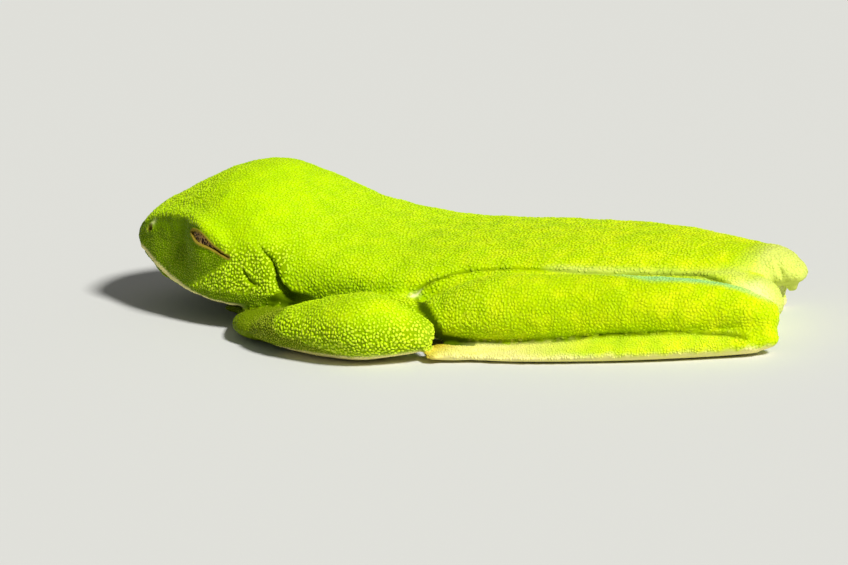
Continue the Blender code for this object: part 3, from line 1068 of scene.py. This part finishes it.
def unwrap_skin(skin):
    """Flattens the skin on to a map of its own, so that each granule's root has a place on it."""
    skin.data.uv_layers.new(name=UNWRAP)
    bpy.context.view_layer.objects.active = skin
    skin.select_set(True)
    bpy.ops.object.mode_set(mode="EDIT")
    bpy.ops.mesh.select_all(action="SELECT")
    bpy.ops.uv.smart_project(angle_limit=math.radians(66), island_margin=0.001)
    bpy.ops.object.mode_set(mode="OBJECT")


def granule(height_share):
    """A low dome with a closed base, 1 wide from its middle to its edge and height_share high."""
    bm = bmesh.new()
    bmesh.ops.create_uvsphere(bm, u_segments=7, v_segments=6, radius=1.0)
    everything = [*bm.verts, *bm.edges, *bm.faces]
    cut = bmesh.ops.bisect_plane(
        bm, geom=everything, plane_co=(0, 0, -0.02), plane_no=(0, 0, -1), clear_outer=True
    )
    rim = [e for e in cut["geom_cut"] if isinstance(e, bmesh.types.BMEdge)]
    bmesh.ops.holes_fill(bm, edges=rim, sides=0)
    bmesh.ops.remove_doubles(bm, verts=bm.verts, dist=0.03)
    for vert in bm.verts:
        vert.co.z *= height_share
    mesh = mesh_of(bm, "granule")
    layer = mesh.attributes.new("on_granule", "FLOAT_VECTOR", "POINT")
    layer.data.foreach_set("vector", [value for vert in mesh.vertices for value in vert.co])
    mesh.shade_smooth()
    return new_object("granule", mesh)


# What differs between granules: the number of the draw, the least and the most. Lengths, breadths
# and heights are shares of the half width.
GRANULE_DRAWS = {
    "long": (0, 0.75, 1.5),
    "wide": (1, 0.6, 1.05),
    "high": (2, 0.45, 1.2),
    "turn": (3, 0.0, math.tau),
    "tone": (5, 0.0, 1.0),
}


def sow_granules(skin, dome, name, sown, spacing, half_width, seed):
    """Granules as one mesh over the skin where sown (0 to 1 at each of its points)."""
    ground = new_object(name, skin.data.copy())
    write_layer(ground.data, "sown", sown)
    tree = bpy.data.node_groups.new(name, "GeometryNodeTree")
    tree.interface.new_socket("Geometry", in_out="INPUT", socket_type="NodeSocketGeometry")
    tree.interface.new_socket("Geometry", in_out="OUTPUT", socket_type="NodeSocketGeometry")
    source = add(tree, "NodeGroupInput").outputs["Geometry"]
    share, size = (
        add(tree, "GeometryNodeInputNamedAttribute", {"Name": held}, data_type="FLOAT").outputs["Attribute"]
        for held in ("sown", "granule_height")
    )
    points = add(
        tree, "GeometryNodeDistributePointsOnFaces",
        {
            "Mesh": source, "Distance Min": spacing, "Density Max": CROWDING / spacing**2,
            "Density Factor": share, "Seed": seed,
        },
        distribute_method="POISSON",
    )
    drawn = {}
    for what, (draw, least, most) in GRANULE_DRAWS.items():
        span = {2: least, 3: most, "Seed": seed * 7 + draw}
        drawn[what] = add(tree, "FunctionNodeRandomValue", span, data_type="FLOAT").outputs[1]
    long, wide, high = (
        add(tree, "ShaderNodeMath", {0: drawn[what], 1: half_width}, operation="MULTIPLY").outputs[0]
        for what in ("long", "wide", "high")
    )
    height = add(tree, "ShaderNodeMath", {0: high, 1: size}, operation="MULTIPLY").outputs[0]
    scale = add(tree, "ShaderNodeCombineXYZ", {"X": long, "Y": wide, "Z": height}).outputs[0]
    spin = add(tree, "ShaderNodeCombineXYZ", {"Z": drawn["turn"]}).outputs[0]
    turned = add(
        tree, "FunctionNodeRotateRotation",
        {"Rotation": points.outputs["Rotation"], "Rotate By": spin}, rotation_space="LOCAL",
    ).outputs["Rotation"]
    shape = add(tree, "GeometryNodeObjectInfo", {"Object": dome}).outputs["Geometry"]
    toned = add(
        tree, "GeometryNodeStoreNamedAttribute",
        {"Geometry": points.outputs["Points"], "Name": "tone", "Value": drawn["tone"]},
        data_type="FLOAT", domain="POINT",
    ).outputs["Geometry"]
    setting = {"Points": toned, "Instance": shape, "Rotation": turned, "Scale": scale}
    set_out = add(tree, "GeometryNodeInstanceOnPoints", setting)
    joined = add(tree, "GeometryNodeRealizeInstances", {"Geometry": set_out.outputs["Instances"]})
    add(tree, "NodeGroupOutput", {"Geometry": joined.outputs["Geometry"]})
    sowing = ground.modifiers.new("granules", "NODES")
    sowing.node_group = tree
    finish_modifier(ground)
    lay_out_granules(ground.data)
    return ground


def lay_out_granules(mesh):
    """The map OFBake: each granule a small patch at its root's place on the skin's unwrap."""
    root = read_all(mesh.attributes[UNWRAP].data, "vector", 2)
    local = read_all(mesh.attributes["on_granule"].data, "vector")
    spots = root + PATCH / 2 * local[:, :2]
    corners = read_all(mesh.loops, "vertex_index", 1, np.int32)[:, 0]
    unwrap = mesh.uv_layers.new(name="OFBake")
    unwrap.data.foreach_set("uv", spots[corners].astype(np.float32).ravel())
    mesh.uv_layers.active = unwrap
    unwrap.active_render = True
    mesh.attributes.remove(mesh.attributes[UNWRAP])


def sow_all(skin, model):
    """The granules of each region as a piece of its own. Columns: where, spacing, half width."""
    along, side = model.at[:, 0], model.at[:, 1]
    body = model.is_part("body", "mound", "flap")
    arm = model.is_part("forearm", "upper_arm")
    leg = model.is_part("shank", "thigh", "sole")
    hand, foot = model.is_part("palm", "finger"), model.is_part("sole", "toe")
    fine = (0.250 * MM, 0.163 * MM)
    cheek = (along < 0.30) & (model.at[:, 2] < 0.112)
    regions = {
        "granules_head": (body & (along < 0.30) & ~cheek, 0.235 * MM, 0.150 * MM),
        "granules_cheeks": (body & cheek, 0.245 * MM, 0.148 * MM),
        "granules_shoulders": (body & (along >= 0.30) & (along < 0.52), *fine),
        "granules_back": (body & (along >= 0.52) & (along < 0.76), *fine),
        "granules_rump": (body & (along >= 0.76), *fine),
    }
    for limb, where, *sizes in (("arm", arm, 0.255 * MM, 0.152 * MM), ("leg", leg, 0.238 * MM, 0.155 * MM)):
        for name, sign in SIDES.items():
            regions[f"granules_{limb}_{name}"] = (where & (side * sign > 0), *sizes)
    smallest = {
        "granules_face": (body & (along < 0.32), 0.165 * MM, 0.100 * MM),
        "granules_hands": (arm | hand, 0.170 * MM, 0.105 * MM),
        "granules_feet": (foot, 0.170 * MM, 0.105 * MM),
    }
    dome = granule(GRANULE_ROUNDNESS)
    pieces = []
    for seed, (name, (where, spacing, half_width)) in enumerate((regions | smallest).items()):
        layer = "fine_grain" if name in smallest else "grain"
        sown = where * model.layers[layer] * 1.0
        pieces.append(sow_granules(skin, dome, name, sown, spacing, half_width, seed))
    bpy.data.objects.remove(dome)
    return pieces


unwrap_skin(skin)
granules = sow_all(skin, model)
skin.data.uv_layers.remove(skin.data.uv_layers[UNWRAP])


def cap_form(radius, spread, centre, facing, rings, sides):
    """A round shell: the part of a ball of that radius within spread of the way it faces."""
    bm = bmesh.new()
    bmesh.ops.create_uvsphere(bm, u_segments=sides, v_segments=rings, radius=radius)
    everything = [*bm.verts, *bm.edges, *bm.faces]
    if spread < math.pi:
        bmesh.ops.bisect_plane(
            bm, geom=everything, plane_co=(0, 0, radius * math.cos(spread)), plane_no=(0, 0, -1),
            clear_outer=True,
        )
    turn = Vector((0, 0, 1)).rotation_difference(Vector(facing)).to_matrix().to_4x4()
    bmesh.ops.transform(bm, matrix=Matrix.Translation(centre) @ turn, verts=bm.verts)
    return bm


def make_eyes():
    """In each eye, the ball and over it the membrane that shows between the lids."""
    ball_material, membrane_material = make_eyeball_material(), make_membrane_material()
    made = []
    for name, side in SIDES.items():
        centre = on_side(EYE, side)
        facing = Vector(on_side(EYE_FACING, side)).normalized()
        ball = cap_form(EYE_RADIUS, math.pi, centre, facing, 32, 48)
        membrane = cap_form(EYE_SKIN, math.radians(50), centre, facing, 64, 64)
        bmesh.ops.solidify(membrane, geom=membrane.faces[:], thickness=0.0012)
        for what, bm, material in (
            ("eyeball", ball, ball_material),
            ("eye_membrane", membrane, membrane_material),
        ):
            mesh = mesh_of(bm, f"{what}_{name}")
            mesh.shade_smooth()
            mesh.materials.append(material)
            made.append(new_object(mesh.name, mesh))
    return made


skin.data.materials.append(make_skin_material())
granule_material = make_granule_material()
for piece in granules:
    piece.data.materials.clear()
    piece.data.materials.append(granule_material)
eyes = make_eyes()


to_metres = Matrix.Translation(ORIGIN) @ Matrix.Scale(SNOUT_VENT, 4)
for piece in (skin, *granules, *eyes):
    piece.data.transform(to_metres)
    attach(piece, "root")
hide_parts(*[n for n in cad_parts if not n.startswith("eye_")])
for name in SIDES:
    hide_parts(f"eye_{name}")


def set_floor():
    """A plain pale floor, matt as painted board."""
    bm = bmesh.new()
    bmesh.ops.create_grid(bm, x_segments=1, y_segments=1, size=1.6)
    floor = new_object("floor", mesh_of(bm, "floor"))
    floor.data.materials.append(new_material("floor", Roughness=0.8, Base_Color=linear("#dcdcd6"))[0])


def set_lights():
    """A broad lamp above the rump, a little to the left, and a dim even glow all round."""
    world = bpy.data.worlds.new("studio")
    bpy.context.scene.world = world
    world.use_nodes = True
    world.node_tree.nodes["Background"].inputs["Color"].default_value = (1, 1, 1, 1)
    world.node_tree.nodes["Background"].inputs["Strength"].default_value = 0.15
    lamp = bpy.data.lights.new("key", "SUN")
    lamp.energy, lamp.angle = 4.45, math.radians(10)
    key = new_object("key", lamp)
    key.rotation_mode = "QUATERNION"
    key.rotation_quaternion = Vector((0.70, -0.30, 0.65)).to_track_quat("Z", "Y")


def set_camera():
    """Low at the frog's left, a little to the rear, tipped so that the rump sits higher."""
    turn, rise, tip = math.radians(28.0), math.radians(14.0), math.radians(4.2)
    right = Vector((math.cos(turn), math.sin(turn), 0.0))
    back = Vector((math.sin(turn) * math.cos(rise), -math.cos(turn) * math.cos(rise), math.sin(rise)))
    down = right.cross(back)
    place, aim = (
        ORIGIN + SNOUT_VENT * (across * right + drop * down + near * back)
        for across, drop, near in ((0.45, 0.05, 7.25), (0.3731, 0.0123, 0.25))
    )
    data = bpy.data.cameras.new("camera")
    data.sensor_width, data.lens = 36.0, 227.038  # millimetres
    data.clip_start, data.clip_end = 0.01, 20.0
    camera = new_object("camera", data)
    z = (place - aim).normalized()
    x = math.cos(tip) * right + math.sin(tip) * down
    x = (x - x.dot(z) * z).normalized()
    y = z.cross(x)
    turned = Matrix((x, y, z)).transposed()
    camera.matrix_world = Matrix.Translation(place) @ turned.to_4x4()
    bpy.context.scene.camera = camera


set_floor()
set_lights()
set_camera()
bpy.context.scene.view_settings.view_transform = "Standard"
